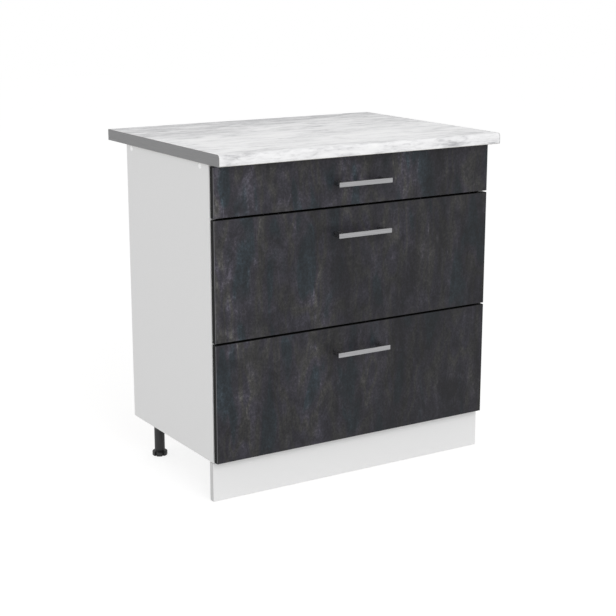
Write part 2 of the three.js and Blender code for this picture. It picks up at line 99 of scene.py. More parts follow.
camera = bpy.data.objects.new("camera", bpy.data.cameras.new("camera"))
camera.data.lens, camera.data.sensor_width = LENS, SENSOR
camera.location = EYE
camera.rotation_euler = (math.pi / 2 + TILT, 0, HEADING)
bpy.context.scene.collection.objects.link(camera)
bpy.context.scene.camera = camera
bpy.context.scene.view_settings.view_transform = "Standard"
print("lens", camera.data.lens, "mm")

# %% [markdown]
# ## Nodes, colours and scales
# Materials and Geometry Nodes are both trees of nodes. One function is enough to add any node
# with its settings and its links. Colours are written as sRGB hex values, as a paint chart gives
# them, and turned to the linear values that the shaders work in. A pattern's scale is written as
# the size of its grain in millimetres along X, Y and Z. Most finishes here rest on one pattern,
# a mottle of soft grains, stretched and mixed in different sizes.

# %% Helpers for nodes
def linear(code):
    """Linear RGBA of an sRGB hex colour."""
    parts = [int(code[i : i + 2], 16) / 255 for i in (1, 3, 5)]
    return [p / 12.92 if p <= 0.04045 else ((p + 0.055) / 1.055) ** 2.4 for p in parts] + [1.0]


def grain(*size_mm):
    """Mapping scale at which one unit of a pattern is this many millimetres along X, Y and Z."""
    return [1 / (s * MM) for s in size_mm]


def in_use(sockets, name):
    """The socket of that name that the node's settings leave in use."""
    return next(s for s in sockets if s.name == name and s.enabled)


def result(node):
    """What a node gives, where it has an output for each type of value and only one is in use."""
    return next(s for s in node.outputs if s.enabled)


def add(tree, kind, inputs=None, stops=None, **settings):
    """Add a node; an input is a value or a socket, and stops are a ramp's (place, colour)."""
    node = tree.nodes.new(kind)
    for key, value in settings.items():
        setattr(node, key, value)
    for key, value in (inputs or {}).items():
        socket = node.inputs[key] if isinstance(key, int) else in_use(node.inputs, key)
        if isinstance(value, bpy.types.NodeSocket):
            tree.links.new(value, socket)
        else:
            socket.default_value = value
    if stops:
        ramp = node.color_ramp.elements
        while len(ramp) < len(stops):
            ramp.new(1.0)
        for element, (place, colour) in zip(ramp, stops):
            element.position, element.color = place, linear(colour)
    return node


def finish(name, **values):
    """A new material and its shader, with the values that are the same all over the surface."""
    material = bpy.data.materials.new(name)
    material.use_nodes = True
    shader = material.node_tree.nodes["Principled BSDF"]
    for key, value in values.items():
        shader.inputs[key.replace("_", " ")].default_value = value
    return material, material.node_tree, shader


def mottle(tree, place, size_mm, shift=(0, 0, 0), detail=3.0, twist=0.0, roughness=0.55):
    """A mottled pattern from 0 to 1: its grains have this size, moved by this many grains."""
    moved = {"Vector": place, "Scale": grain(*size_mm), "Location": shift}
    spot = add(tree, "ShaderNodeMapping", moved).outputs[0]
    values = {"Vector": spot, "Scale": 1.0, "Detail": detail, "Roughness": roughness}
    return add(tree, "ShaderNodeTexNoise", {**values, "Distortion": twist}).outputs["Fac"]


print("white is", linear("#ffffff"))

# %% [markdown]
# ## Light and background
# Product pictures like this one are lit by large soft boxes in a white room. The room's even
# light does most of the work, one large lamp in front and above models the front and the
# worktop, and a weaker one from the left opens up the side panel. The levels are chosen so that a
# colour renders about as it is written. The white behind comes from what the camera is shown,
# and not from more light: camera and gloss rays see a white room, and the floor adds just enough
# of its own to be white where nothing shades it, so that the cabinet's soft shadow stays.

# %% Room, lamps and floor
ROOM_LEVEL = 0.66
FLOOR_SHADE = 0.30  # share of the floor's white that comes from the light that falls on it
LAMPS = {
    "key": {"place": (-0.5, -4.6, 3.1), "size": 3.2, "watts": 86},
    "side": {"place": (-4.2, -1.2, 2.6), "size": 2.5, "watts": 20},
}


def seen_directly(tree):
    """1 for rays that show a surface to the camera: straight, mirrored or through glass."""
    path = add(tree, "ShaderNodeLightPath").outputs
    seen = path["Is Camera Ray"]
    for ray in (path["Is Glossy Ray"], path["Is Transmission Ray"]):
        seen = add(tree, "ShaderNodeMath", {0: seen, 1: ray}, operation="MAXIMUM").outputs[0]
    return seen


room = bpy.data.worlds.new("white_room")
room.use_nodes = True
tree = room.node_tree
tree.nodes.clear()
even = add(tree, "ShaderNodeBackground", {"Color": linear("#ffffff"), "Strength": ROOM_LEVEL})
white = add(tree, "ShaderNodeBackground", {"Color": linear("#ffffff"), "Strength": 1.0})
choice = {0: seen_directly(tree), 1: even.outputs[0], 2: white.outputs[0]}
chosen = add(tree, "ShaderNodeMixShader", choice).outputs[0]
add(tree, "ShaderNodeOutputWorld", {"Surface": chosen})
bpy.context.scene.world = room

AIM = Vector((0, 0, 0.42))  # the cabinet's middle
for name, spec in LAMPS.items():
    light = bpy.data.lights.new(name, "AREA")
    light.energy, light.shape, light.size = spec["watts"], "SQUARE", spec["size"]
    lamp = bpy.data.objects.new(name, light)
    lamp.location = spec["place"]
    lamp.rotation_euler = (AIM - Vector(spec["place"])).to_track_quat("-Z", "Y").to_euler()
    bpy.context.scene.collection.objects.link(lamp)

paper = bpy.data.materials.new("white_paper_floor")
paper.use_nodes = True
tree = paper.node_tree
tree.nodes.clear()
plain = add(tree, "ShaderNodeBsdfDiffuse", {"Color": linear("#e6e6e6")})
shaded = add(tree, "ShaderNodeBsdfDiffuse", {"Color": [FLOOR_SHADE] * 3 + [1.0]})
own_light = {"Color": linear("#ffffff"), "Strength": 1 - FLOOR_SHADE * ROOM_LEVEL}
glow = add(tree, "ShaderNodeEmission", own_light)
shown = add(tree, "ShaderNodeAddShader", {0: shaded.outputs[0], 1: glow.outputs[0]})
choice = {0: seen_directly(tree), 1: plain.outputs[0], 2: shown.outputs[0]}
chosen = add(tree, "ShaderNodeMixShader", choice).outputs[0]
add(tree, "ShaderNodeOutputMaterial", {"Surface": chosen})

FLOOR_HALF, FLOOR_LEVEL = 12.0, -0.2 * MM
corners = [(-FLOOR_HALF, -FLOOR_HALF), (FLOOR_HALF, -FLOOR_HALF)]
corners += [(FLOOR_HALF, FLOOR_HALF), (-FLOOR_HALF, FLOOR_HALF)]
sheet = bpy.data.meshes.new("floor")
sheet.from_pydata([(x, y, FLOOR_LEVEL) for x, y in corners], [], [(0, 1, 2, 3)])
sheet.materials.append(paper)
floor = bpy.data.objects.new("floor", sheet)
bpy.context.scene.collection.objects.link(floor)
floor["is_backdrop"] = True
print("lamps:", ", ".join(LAMPS))

# %% [markdown]
# ## Marble laminate
# The worktop is chipboard under a sheet of high-pressure laminate: printed paper in hard
# resin, pressed with a fine matt texture. The print shows pale marble with soft grey streaks
# that run along the worktop. Three mottles, each stretched along X, give broad clouds, streaks
# and short hairs. A few veins follow the shoreline of a fourth one, where it crosses its middle
# level. The eye gets a cool white with a soft sheen, greyer where streaks bunch up, and painted
# shade makes it greyer towards the rear edge.

# %% Marble laminate
def marble_laminate():
    material, tree, shader = finish("marble_print_laminate", Roughness=0.34, IOR=1.5)
    place = add(tree, "ShaderNodeTexCoord").outputs["Object"]
    broad = mottle(tree, place, (240, 110, 110), detail=3.0, twist=0.8)
    streaks = mottle(tree, place, (120, 20, 20), detail=4.0, twist=1.0)
    hairs = mottle(tree, place, (22, 6, 6), detail=4.0, twist=0.6)
    soft = add(tree, "ShaderNodeMix", {"Factor": 0.62, "A": broad, "B": streaks})
    fine = add(tree, "ShaderNodeMix", {"Factor": 0.28, "A": result(soft), "B": hairs})
    # painted shade: from the middle of the worktop to its rear edge the colour turns from lighter
    # to greyer
    across = add(tree, "ShaderNodeSeparateXYZ", {"Vector": place}).outputs["Y"]
    ends = {"From Min": -0.02, "From Max": 0.30, "To Min": 0.05, "To Max": -0.07}
    lighter = add(tree, "ShaderNodeMapRange", {"Value": across, **ends}).outputs[0]
    level = add(tree, "ShaderNodeMath", {0: result(fine), 1: lighter}, operation="ADD").outputs[0]
    stops = [(0.37, "#a0a0a3"), (0.445, "#c6c6c8"), (0.51, "#e3e3e4")]
    stops += [(0.57, "#f1f1f2"), (0.66, "#f8f8f8")]
    print_colour = add(tree, "ShaderNodeValToRGB", {"Fac": level}, stops=stops).outputs["Color"]
    hills = mottle(tree, place, (420, 110, 110), (3.1, 0.0, 0.0), detail=4.0, twist=0.9)
    slope = add(tree, "ShaderNodeMath", {0: hills, 1: 0.5}, operation="SUBTRACT").outputs[0]
    shore = add(tree, "ShaderNodeMath", {0: slope}, operation="ABSOLUTE").outputs[0]
    stops = [(0.0, "#dcdcde"), (0.010, "#f0f0f1"), (0.035, "#ffffff")]
    vein = add(tree, "ShaderNodeValToRGB", {"Fac": shore}, stops=stops).outputs["Color"]
    layers = {"Factor": 0.6, "A": print_colour, "B": vein}
    veined = add(tree, "ShaderNodeMix", layers, data_type="RGBA", blend_type="MULTIPLY")
    tree.links.new(result(veined), shader.inputs["Base Color"])
    # the press plate's texture is about 0.3 mm; it is drawn at 1.2 mm, coarse enough to show
    skin = mottle(tree, place, (1.2, 1.2, 1.2), detail=2.0)
    bump = {"Height": skin, "Strength": 0.06, "Distance": 0.1 * MM}
    tree.links.new(add(tree, "ShaderNodeBump", bump).outputs[0], shader.inputs["Normal"])
    return material


MARBLE = marble_laminate()
print(MARBLE.name, "has", len(MARBLE.node_tree.nodes), "nodes")

# %% [markdown]
# ## Dark concrete decor
# The drawer fronts are chipboard faced with a printed decor of dark, trowelled concrete. It
# stands upright: wide clouds pulled out along Z, narrower runs of the trowel inside them, blots
# that lie any way, and a fine crust of pits and pale specks. Its greys lean to violet or, where
# it is darkest, to blue-green. Painted light lies over the print: each front is paler at its
# left end, and from the top front down each front is painted a little darker. Each front is cut
# from another place of the sheet, so the pattern is moved for each. The foil is matt, with a
# faint relief that follows the crust.

# %% Dark concrete decor
def concrete_decor(name, shift, painted_light_level):
    """The decor as it is at one place of the sheet, under painted light that brightens or darkens
    it by this level.
    """
    material, tree, shader = finish(name, Roughness=0.5, IOR=1.5, Specular_IOR_Level=0.3)
    place = add(tree, "ShaderNodeTexCoord").outputs["Object"]
    clouds = mottle(tree, place, (95, 60, 320), shift, detail=3.0, twist=0.35)
    runs = mottle(tree, place, (30, 30, 190), shift, detail=3.0, twist=0.5)
    blots = mottle(tree, place, (34, 34, 56), shift, detail=4.0, twist=0.9)
    crust = mottle(tree, place, (5.5, 5.5, 6.5), shift, detail=4.0, roughness=0.75)
    layered = clouds
    for share, layer in ((0.38, runs), (0.42, blots), (0.32, crust)):
        layered = result(add(tree, "ShaderNodeMix", {"Factor": share, "A": layered, "B": layer}))
    # the highest ridges of a narrow upright mottle are the pale marks that the trowel leaves
    ridges = mottle(tree, place, (13, 13, 60), shift, detail=2.0, twist=0.5)
    ends = {"From Min": 0.63, "From Max": 0.76, "To Min": 0.0, "To Max": 0.07}
    marks = add(tree, "ShaderNodeMapRange", {"Value": ridges, **ends}).outputs[0]
    layered = add(tree, "ShaderNodeMath", {0: layered, 1: marks}, operation="ADD").outputs[0]
    # painted light: from the left end to the right end the front turns from paler to darker
    sideways = add(tree, "ShaderNodeSeparateXYZ", {"Vector": place}).outputs["X"]
    ends = {"From Min": -0.40, "From Max": 0.40, "To Min": painted_light_level + 0.030, "To Max": painted_light_level - 0.065}
    painted_side_light = add(tree, "ShaderNodeMapRange", {"Value": sideways, **ends}).outputs[0]
    level = add(tree, "ShaderNodeMath", {0: layered, 1: painted_side_light}, operation="ADD").outputs[0]
    stops = [(0.38, "#151517"), (0.45, "#242426"), (0.51, "#313132")]
    stops += [(0.565, "#404041"), (0.64, "#646464")]
    grey = add(tree, "ShaderNodeValToRGB", {"Fac": level}, stops=stops).outputs["Color"]
    hue = mottle(tree, place, (62, 60, 230), [s + 7.3 for s in shift], detail=2.0, twist=0.4)
    stops = [(0.39, "#adcbe0"), (0.44, "#dddaf1"), (0.48, "#e6def9")]
    stops += [(0.52, "#f2edf7"), (0.55, "#fffcf3"), (0.62, "#dfd9f5")]
    lean = add(tree, "ShaderNodeValToRGB", {"Fac": hue}, stops=stops).outputs["Color"]
    layers = {"Factor": 1.0, "A": grey, "B": lean}
    tinted = add(tree, "ShaderNodeMix", layers, data_type="RGBA", blend_type="MULTIPLY")
    tree.links.new(result(tinted), shader.inputs["Base Color"])
    bump = {"Height": crust, "Strength": 0.12, "Distance": 0.25 * MM}
    tree.links.new(add(tree, "ShaderNodeBump", bump).outputs[0], shader.inputs["Normal"])
    return material


# the last value is painted light: the top front is painted paler, the lower ones darker
DECORS = {
    "top": concrete_decor("concrete_decor_top", (0.4, 0.0, 3.1), 0.024),
    "middle": concrete_decor("concrete_decor_middle", (5.2, 0.0, 11.7), -0.009),
    "bottom": concrete_decor("concrete_decor_bottom", (9.6, 0.0, 23.9), -0.018),
}
print("decors:", ", ".join(m.name for m in DECORS.values()))

# %% [markdown]
# ## Boards: melamine, raw chipboard and hardboard
# The carcass is chipboard between two sheets of melamine paper, pressed with a fine pearl
# texture that takes the shine off. The cut edges that show are covered with a smooth plastic
# band: white on the carcass, anthracite on the drawer fronts, where the band's upright rounds
# are painted paler, a painted highlight. The others stay raw, and there the board shows what it
# is: flakes and dust of wood in layers. The back is 3 mm hardboard, lacquered white inside and
# brown, felted fibre behind.

# %% Melamine, edge band, chipboard and hardboard
def speckled(name, colours, size_mm, bump_mm, roughness, cells=False, **values):
    """A finish of fine grains: their colours from dark to light, and the relief that they leave."""
    material, tree, shader = finish(name, Roughness=roughness, **values)
    place = add(tree, "ShaderNodeTexCoord").outputs["Object"]
    grains = mottle(tree, place, size_mm)
    if cells:
        spot = {"Vector": place, "Scale": grain(*size_mm)}
        spot = add(tree, "ShaderNodeMapping", spot).outputs[0]
        flakes = {"Vector": spot, "Scale": 1.0, "Randomness": 1.0}
        flakes = add(tree, "ShaderNodeTexVoronoi", flakes).outputs["Color"]
        apart = add(tree, "ShaderNodeSeparateColor", {"Color": flakes}).outputs["Red"]
        grains = result(add(tree, "ShaderNodeMix", {"Factor": 0.6, "A": grains, "B": apart}))
    # the colours share out the middle of the pattern, where nearly all of its values are
    stops = [(0.3 + 0.4 * i / (len(colours) - 1), colour) for i, colour in enumerate(colours)]
    ramp = add(tree, "ShaderNodeValToRGB", {"Fac": grains}, stops=stops)
    tree.links.new(ramp.outputs["Color"], shader.inputs["Base Color"])
    relief = {"Height": grains, "Strength": 0.5, "Distance": bump_mm * MM}
    tree.links.new(add(tree, "ShaderNodeBump", relief).outputs[0], shader.inputs["Normal"])
    return material


PEARL = (1.5, 1.5, 1.5)  # the real texture is about 0.5 mm; this is coarse enough to show
SMOOTH = (4, 4, 4)
DULL = {"Specular_IOR_Level": 0.12}
WOOD = ("#857053", "#ab9371", "#c3af8e", "#d6c7a9")

MELAMINE = speckled("white_melamine", ("#e7e7e7", "#ebebeb"), PEARL, 0.025, 0.42)
# the plinth's faces are painted lighter than the other white melamine: painted light
PLINTH_PAINTED_LIGHTER = speckled("plinth_melamine_painted_lighter", ("#eeeeee", "#f2f2f2"), PEARL, 0.025, 0.42)
FRONT_BACK = speckled("grey_melamine", ("#c9c9c7", "#cececc"), PEARL, 0.025, 0.45)
EDGE_BAND = speckled("white_edge_band", ("#ededed", "#f0f0f0"), SMOOTH, 0.01, 0.3)
GREY_BAND = speckled("grey_edge_band", ("#cbcbcb", "#cfcfcf"), SMOOTH, 0.01, 0.35)
DARK_BAND = speckled("anthracite_edge_band", ("#0e0e0f", "#121213"), SMOOTH, 0.01, 0.6, **DULL)
# the upright rounds of the fronts' dark band are painted paler: a painted highlight
BAND_PAINTED_HIGHLIGHT = speckled("band_edge_painted_highlight", ("#66666a", "#707074"), SMOOTH, 0.01, 0.35)
CHIPBOARD = speckled("raw_chipboard", WOOD, (2.4, 2.4, 1.1), 0.2, 0.85, cells=True)
HARDBOARD = speckled("raw_hardboard", ("#7f6850", "#8c745a", "#9a8267"), SMOOTH, 0.05, 0.8)
LACQUER = speckled("white_lacquered_hardboard", ("#e3e3e0", "#e7e7e4"), (2.5, 2.5, 2.5), 0.02, 0.4)
BACKING = speckled("worktop_backing_paper", ("#b3ada3", "#bdb7ad"), (6, 2, 6), 0.03, 0.75)
print("materials so far:", len(bpy.data.materials))

# %% [markdown]
# ## Metals and plastics
# The handles are zinc alloy with a satin nickel plate: a metal, so its colour is the colour of
# its reflections, broken up by fine brush lines along the bar. The worktop's ends are closed
# with a matt grey strip that is drawn with the same lines, but is no metal. The runners and
# drawer sides are sheet steel under white powder coat, which melts to a slightly wavy
# orange-peel skin. The legs are moulded black plastic with a dull spark-eroded skin, the
# rollers a smoother white nylon. The screws are zinc-plated, their caps are glossy white plastic
# and the bumpers clear silicone.

# %% Satin nickel, powder coat, plastics
BRUSH_DEPTH = 0.03 * MM
GLOSS = {"Specular_IOR_Level": 1.0}


def brushed(name, colours, roughness, size_mm, metallic=1.0):
    """A finish with fine darker and lighter lines along the longest of the three sizes."""
    material, tree, shader = finish(name, Metallic=metallic)
    place = add(tree, "ShaderNodeTexCoord").outputs["Object"]
    lines = mottle(tree, place, size_mm)
    stops = [(0.35, colours[0]), (0.65, colours[1])]
    ramp = add(tree, "ShaderNodeValToRGB", {"Fac": lines}, stops=stops)
    tree.links.new(ramp.outputs["Color"], shader.inputs["Base Color"])
    spread = {"Value": lines, "To Min": roughness - 0.06, "To Max": roughness + 0.08}
    tree.links.new(add(tree, "ShaderNodeMapRange", spread).outputs[0], shader.inputs["Roughness"])
    relief = {"Height": lines, "Strength": 0.4, "Distance": BRUSH_DEPTH}
    tree.links.new(add(tree, "ShaderNodeBump", relief).outputs[0], shader.inputs["Normal"])
    return material


# brush lines are about 0.1 mm apart; they are drawn at 0.6 mm, coarse enough to show
NICKEL = brushed("satin_nickel", ("#969698", "#acacae"), 0.34, (45, 0.6, 0.6))
STRIP = brushed("matt_grey_end_strip", ("#7f7f80", "#8b8b8c"), 0.5, (1.0, 60, 0.8), metallic=0.0)
ZINC = brushed("zinc_plated_screw", ("#bfbeb8", "#d3d2cc"), 0.3, (3, 3, 3))
POWDER = speckled("white_powder_coat", ("#dcdcda", "#e0e0de"), (2.5, 2.5, 2.5), 0.05, 0.38)
BLACK = speckled("black_moulded_plastic", ("#1b1b1c", "#222223"), (1.2, 1.2, 1.2), 0.04, 0.48)
NYLON = speckled("white_nylon", ("#e4e4df", "#e9e9e4"), SMOOTH, 0.01, 0.32)
CAP_WHITE = speckled("white_cap_plastic", ("#fdfdfd", "#ffffff"), (3, 3, 3), 0.01, 0.3, **GLOSS)
SILICONE = speckled("clear_silicone", ("#d6d8d8", "#dcdede"), (3, 3, 3), 0.01, 0.25)
print("materials in all:", len(bpy.data.materials))

# %% [markdown]
# ## Small tools for the pieces
# A frame node is a bare solid with knife-sharp edges. Real edges are never sharp: a band is
# scraped, sheet steel is tumbled, plastic leaves a radius in the mould, and that small round is
# what catches the light. So a piece starts as a copy of its node, welded and rounded, and each
# face then takes the finish of the side of the board that it lies on.

# %% Eased copies
def baked(piece):
    """Turn a piece's modifiers into its own mesh."""
    graph = bpy.context.evaluated_depsgraph_get()
    solid = bpy.data.meshes.new_from_object(piece.evaluated_get(graph), depsgraph=graph)
    piece.modifiers.clear()
    piece.data = solid
    return piece


# how wide the round is along the edges of each kind of piece, in millimetres
BOARD_ROUND, FRONT_ROUND, THIN_ROUND, BAR_ROUND = 0.4, 0.5, 0.2, 0.3
MOULD_ROUND, CLIP_ROUND = 0.35, 0.3


def eased(node, kind, width_mm, steps=2, bend=30):
    """A copy of a frame node, its edges that turn more than this bend rounded by this width."""
    bm = bmesh.new()
    bm.from_mesh(frame["nodes"][node].data)
    bmesh.ops.remove_doubles(bm, verts=bm.verts, dist=0.02 * MM)
    bmesh.ops.dissolve_limit(bm, angle_limit=math.radians(0.5), verts=bm.verts, edges=bm.edges)
    mesh = bpy.data.meshes.new(f"{node}_{kind}")
    bm.to_mesh(mesh)
    bm.free()
    if "custom_normal" in mesh.attributes:
        mesh.attributes.remove(mesh.attributes["custom_normal"])
    mesh.shade_smooth()
    piece = bpy.data.objects.new(mesh.name, mesh)
    bpy.context.scene.collection.objects.link(piece)
    ease = piece.modifiers.new("ease", "BEVEL")
    ease.width, ease.segments, ease.angle_limit = width_mm * MM, steps, math.radians(bend)
    ease.limit_method, ease.harden_normals = "ANGLE", True
    return baked(piece)


def smoothed(piece, bend=35):
    """Shade a piece smooth, except across edges that turn more than this bend."""
    piece.data.shade_smooth()
    piece.data.set_sharp_from_angle(angle=math.radians(bend))
    return piece


ON_SIDE = 1.2 * MM  # a face this near to a side of its piece's box lies on that side
SLANTED = 0.96  # a face whose normal has no share above this along an axis lies on a round
LEVEL = 0.04  # a round whose normal rises by less than this runs upright


def side_of(face, lo, hi):
    """The side of the box that a face lies on, such as "-y", or "cut" for one inside it."""
    axis = max(range(3), key=lambda i: abs(face.normal[i]))
    ahead = face.normal[axis] > 0
    reach = abs(face.center[axis] - (hi if ahead else lo)[axis])
    return ("+" if ahead else "-") + "xyz"[axis] if reach < ON_SIDE else "cut"


def dress(piece, plain, sides=None):
    """Give a piece one finish, and the listed sides of its box and its rounds their own."""
    finishes = [plain] + [m for m in dict.fromkeys((sides or {}).values()) if m is not plain]
    piece.data.materials.clear()
    for material in finishes:
        piece.data.materials.append(material)
    corners = [Vector(c) for c in piece.bound_box]
    for face in piece.data.polygons if sides else ():
        side = side_of(face, corners[0], corners[6])
        if "upright round" in sides and max(map(abs, face.normal)) < SLANTED:
            side = "upright round" if abs(face.normal.z) < LEVEL else "level round"
        face.material_index = finishes.index(sides.get(side, plain))
    return piece


def settle(piece, *nodes):
    """Let a piece stand for its frame nodes, riding on their body."""
    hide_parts(*nodes)
    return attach(piece, BODY_OF[nodes[0]])


print(len(set(BODY_OF.values())), "bodies for the pieces to ride on")

# %% [markdown]
# ## Geometry Nodes from code
# A node group is built here once for each rule and then run for each piece. Its inputs have
# names, so a piece is a list of sizes. The result is turned into a plain mesh straight away,
# which keeps the cabinet's pieces independent of each other.

# %% Running a node group
def group(name, **inputs):
    """A new Geometry Nodes group with these inputs, given by name as (socket type, default)."""
    tree = bpy.data.node_groups.new(name, "GeometryNodeTree")
    tree.interface.new_socket("Geometry", in_out="OUTPUT", socket_type="NodeSocketGeometry")
    tree.interface.new_socket("Geometry", in_out="INPUT", socket_type="NodeSocketGeometry")
    for label, (kind, value) in inputs.items():
        kinds = {"in_out": "INPUT", "socket_type": f"NodeSocket{kind}"}
        socket = tree.interface.new_socket(label.replace("_", " "), **kinds)
        if value is not None:
            socket.default_value = value
    return tree, tree.nodes.new("NodeGroupInput").outputs


def close_group(tree, geometry, material):
    """End a group with real geometry in its material."""
    real = add(tree, "GeometryNodeRealizeInstances", {"Geometry": geometry}).outputs[0]
    coated = add(tree, "GeometryNodeSetMaterial", {"Geometry": real, "Material": material})
    add(tree, "NodeGroupOutput", {"Geometry": coated.outputs[0]})


def grown(name, tree, mesh, **values):
    """A piece that a group makes from this mesh and these values."""
    piece = bpy.data.objects.new(name, mesh)
    bpy.context.scene.collection.objects.link(piece)
    modifier = piece.modifiers.new(tree.name, "NODES")
    modifier.node_group = tree
    identifiers = {s.name: s.identifier for s in tree.interface.items_tree if s.in_out == "INPUT"}
    for label, value in values.items():
        modifier[identifiers[label.replace("_", " ")]] = value
    return baked(piece)


print("a group's inputs are set by name")

# %% [markdown]
# ## Worktop
# A postformed worktop is made flat: laminate is glued to the board and then bent hot round its
# milled front edge, so top and nose are one sheet without a joint. The outline below is that
# board seen from the end, a rectangle whose two front corners are rounded by different radii. It
# is filled and drawn out along the cabinet. The same rule makes the grey end strips, which are
# thin slices of the same outline. Under the worktop is backing paper, behind it raw chipboard.

# %% Worktop and end strips
tree, given = group(
    "postformed_profile",
    Depth=("Float", 0.6), Thickness=("Float", 0.028), Length=("Float", 0.8),
    Top_Radius=("Float", 0.009), Bottom_Radius=("Float", 0.003), Steps=("Int", 10),
    Place=("Vector", (0.0, 0.0, 0.0)), Material=("Material", None),
)
board = {"Width": given["Depth"], "Height": given["Thickness"]}
outline = add(tree, "GeometryNodeCurvePrimitiveQuadrilateral", board).outputs[0]
corner = add(tree, "GeometryNodeInputIndex").outputs[0]
radius = 0.0
for number, label in ((1, "Top Radius"), (2, "Bottom Radius")):
    equal = {"data_type": "INT", "operation": "EQUAL"}
    here = add(tree, "FunctionNodeCompare", {2: corner, 3: number}, **equal).outputs[0]
    chosen = {"Switch": here, "False": radius, "True": given[label]}
    radius = result(add(tree, "GeometryNodeSwitch", chosen, input_type="FLOAT"))
rounded = {"Curve": outline, "Count": given["Steps"], "Radius": radius}
rounded = add(tree, "GeometryNodeFilletCurve", rounded, mode="POLY").outputs[0]
face = add(tree, "GeometryNodeFillCurve", {"Curve": rounded}, mode="NGONS").outputs[0]
drawn = {"Mesh": face, "Offset Scale": given["Length"], "Individual": False}
drawn = add(tree, "GeometryNodeExtrudeMesh", drawn).outputs["Mesh"]
near_end = add(tree, "GeometryNodeFlipFaces", {"Mesh": face}).outputs[0]
both = add(tree, "GeometryNodeJoinGeometry")
tree.links.new(drawn, both.inputs[0])
tree.links.new(near_end, both.inputs[0])
welded = {"Geometry": both.outputs[0], "Distance": 0.01 * MM}
welded = add(tree, "GeometryNodeMergeByDistance", welded).outputs[0]
ALONG_CABINET = (math.pi / 2, 0.0, math.pi / 2)
turned = {"Geometry": welded, "Translation": given["Place"], "Rotation": ALONG_CABINET}
turned = add(tree, "GeometryNodeTransform", turned).outputs[0]
close_group(tree, turned, given["Material"])

NOSE = {"Top_Radius": 9 * MM, "Bottom_Radius": 3 * MM}
WORKTOP_FINISHES = {
    "worktop": (MARBLE, {"-z": BACKING, "+y": CHIPBOARD, "-x": CHIPBOARD, "+x": CHIPBOARD}),
    "worktop_end_strip_left": (STRIP, None),
    "worktop_end_strip_right": (STRIP, None),
}
for node, (plain, sides) in WORKTOP_FINISHES.items():
    lo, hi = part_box(node)
    sizes = {"Depth": hi.y - lo.y, "Thickness": hi.z - lo.z, "Length": hi.x - lo.x}
    place = (lo.x, (lo.y + hi.y) / 2, (lo.z + hi.z) / 2)
    blank = bpy.data.meshes.new(node)
    piece = grown(f"{node}_postformed", tree, blank, Place=place, Material=plain, **sizes, **NOSE)
    settle(dress(smoothed(piece), plain, sides), node)
    print(piece.name, len(piece.data.polygons), "faces")

# %% [markdown]
# ## Carcass boards
# Two sides, a bottom, two rails under the worktop and a plinth, all 16 mm melamine board. Edges
# that show carry a white band, on the plinth a light grey one, and the others are raw. The back
# is a thin hardboard that slides in grooves; it is white where the drawers see it and brown
# towards the wall.

# %% Carcass boards
FLAT = {"-z": MELAMINE, "+z": MELAMINE}
UPRIGHT = {"-x": MELAMINE, "+x": MELAMINE}
BOARDS = {
    "side_panel_left": {**UPRIGHT, "-y": EDGE_BAND, "-z": EDGE_BAND},
    "side_panel_right": {**UPRIGHT, "-y": EDGE_BAND, "-z": EDGE_BAND},
    "bottom_panel": {**FLAT, "-y": EDGE_BAND},
    "top_rail_front": {**FLAT, "-y": EDGE_BAND, "+y": EDGE_BAND},
    "top_rail_back": {**FLAT, "-y": EDGE_BAND},
    "plinth_board": {
        # the plinth's faces: melamine painted lighter, painted light
        **dict.fromkeys(("-y", "+y"), PLINTH_PAINTED_LIGHTER),
        **dict.fromkeys(("-x", "+x", "+z"), GREY_BAND),
    },
}
for node, sides in BOARDS.items():
    settle(dress(eased(node, "board", BOARD_ROUND), CHIPBOARD, sides), node)
back = eased("back_panel", "hardboard", THIN_ROUND, steps=1)
settle(dress(back, HARDBOARD, {"-y": LACQUER}), "back_panel")
print(len(BOARDS), "boards and a back")

# %% [markdown]
# ## Drawer fronts
# Each front is one board with the decor on its face and a plain light grey sheet behind. Its
# edges carry a dark band, thicker than on the carcass because hands touch it, and so rounded by
# a little more. The band's upright rounds are painted paler, a painted highlight: they draw the
# thin light line at each end of a front.

# %% Drawer fronts
AROUND = dict.fromkeys(("-x", "+x", "-z", "+z", "level round"), DARK_BAND)
# the upright rounds take a paler colour than the band: a painted highlight
AROUND.update({"+y": FRONT_BACK, "upright round": BAND_PAINTED_HIGHLIGHT})
for drawer in DRAWERS:
    node = f"{drawer}_drawer_front"
    piece = dress(eased(node, "board", FRONT_ROUND, bend=20), DECORS[drawer], AROUND)
    settle(piece, node)
    print(piece.name, len(piece.data.polygons), "faces")

# %% [markdown]
# ## Handles
# A flat bar on two posts, cast in zinc, ground along its length and plated. The grinding rounds
# its long edges a little.

# %% Handles
for drawer in DRAWERS:
    node = f"{drawer}_drawer_handle"
    settle(dress(eased(node, "bar", BAR_ROUND, bend=20), NICKEL), node)
print(len(DRAWERS), "handles")

# %% [markdown]
# ## Drawer boxes and runners
# The drawer sides are folded from sheet steel: a running flange that rests on the cabinet's
# roller, a flange under the bottom board, one to the front and one to the back. The rails are
# channels with a stop tab. All are powder-coated after folding. The bottom and the back are
# white boards; their cut ends stay raw where the steel hides them.

# %% Drawer boxes and runners
DRAWER_BOARDS = {
    "bottom": {**FLAT, "+y": EDGE_BAND},
    "back": {"-y": MELAMINE, "+y": MELAMINE, "+z": EDGE_BAND},
}
for drawer in DRAWERS:
    for side in SIDES:
        for part in (f"{drawer}_drawer_side_{side}", f"{drawer}_cabinet_rail_{side}"):
            settle(dress(eased(part, "steel", THIN_ROUND, steps=1), POWDER), part)
        if drawer in DEEP_DRAWERS:
            rod = f"{drawer}_drawer_rod_{side}"
            settle(dress(eased(rod, "steel", BAR_ROUND), POWDER), rod)
    for board, faces in DRAWER_BOARDS.items():
        node = f"{drawer}_drawer_{board}"
        settle(dress(eased(node, "board", BOARD_ROUND), CHIPBOARD, faces), node)
print(len(DRAWERS), "drawer boxes")

# %% [markdown]
# ## Rollers
# A runner's roller is turned or moulded nylon on a steel axle. Its outline is a closed line of a
# few points: bore, hub, recess, and a rim with broken edges. Node groups turn that line once
# round the axle, so that the rim is truly round and rolls without a flat.

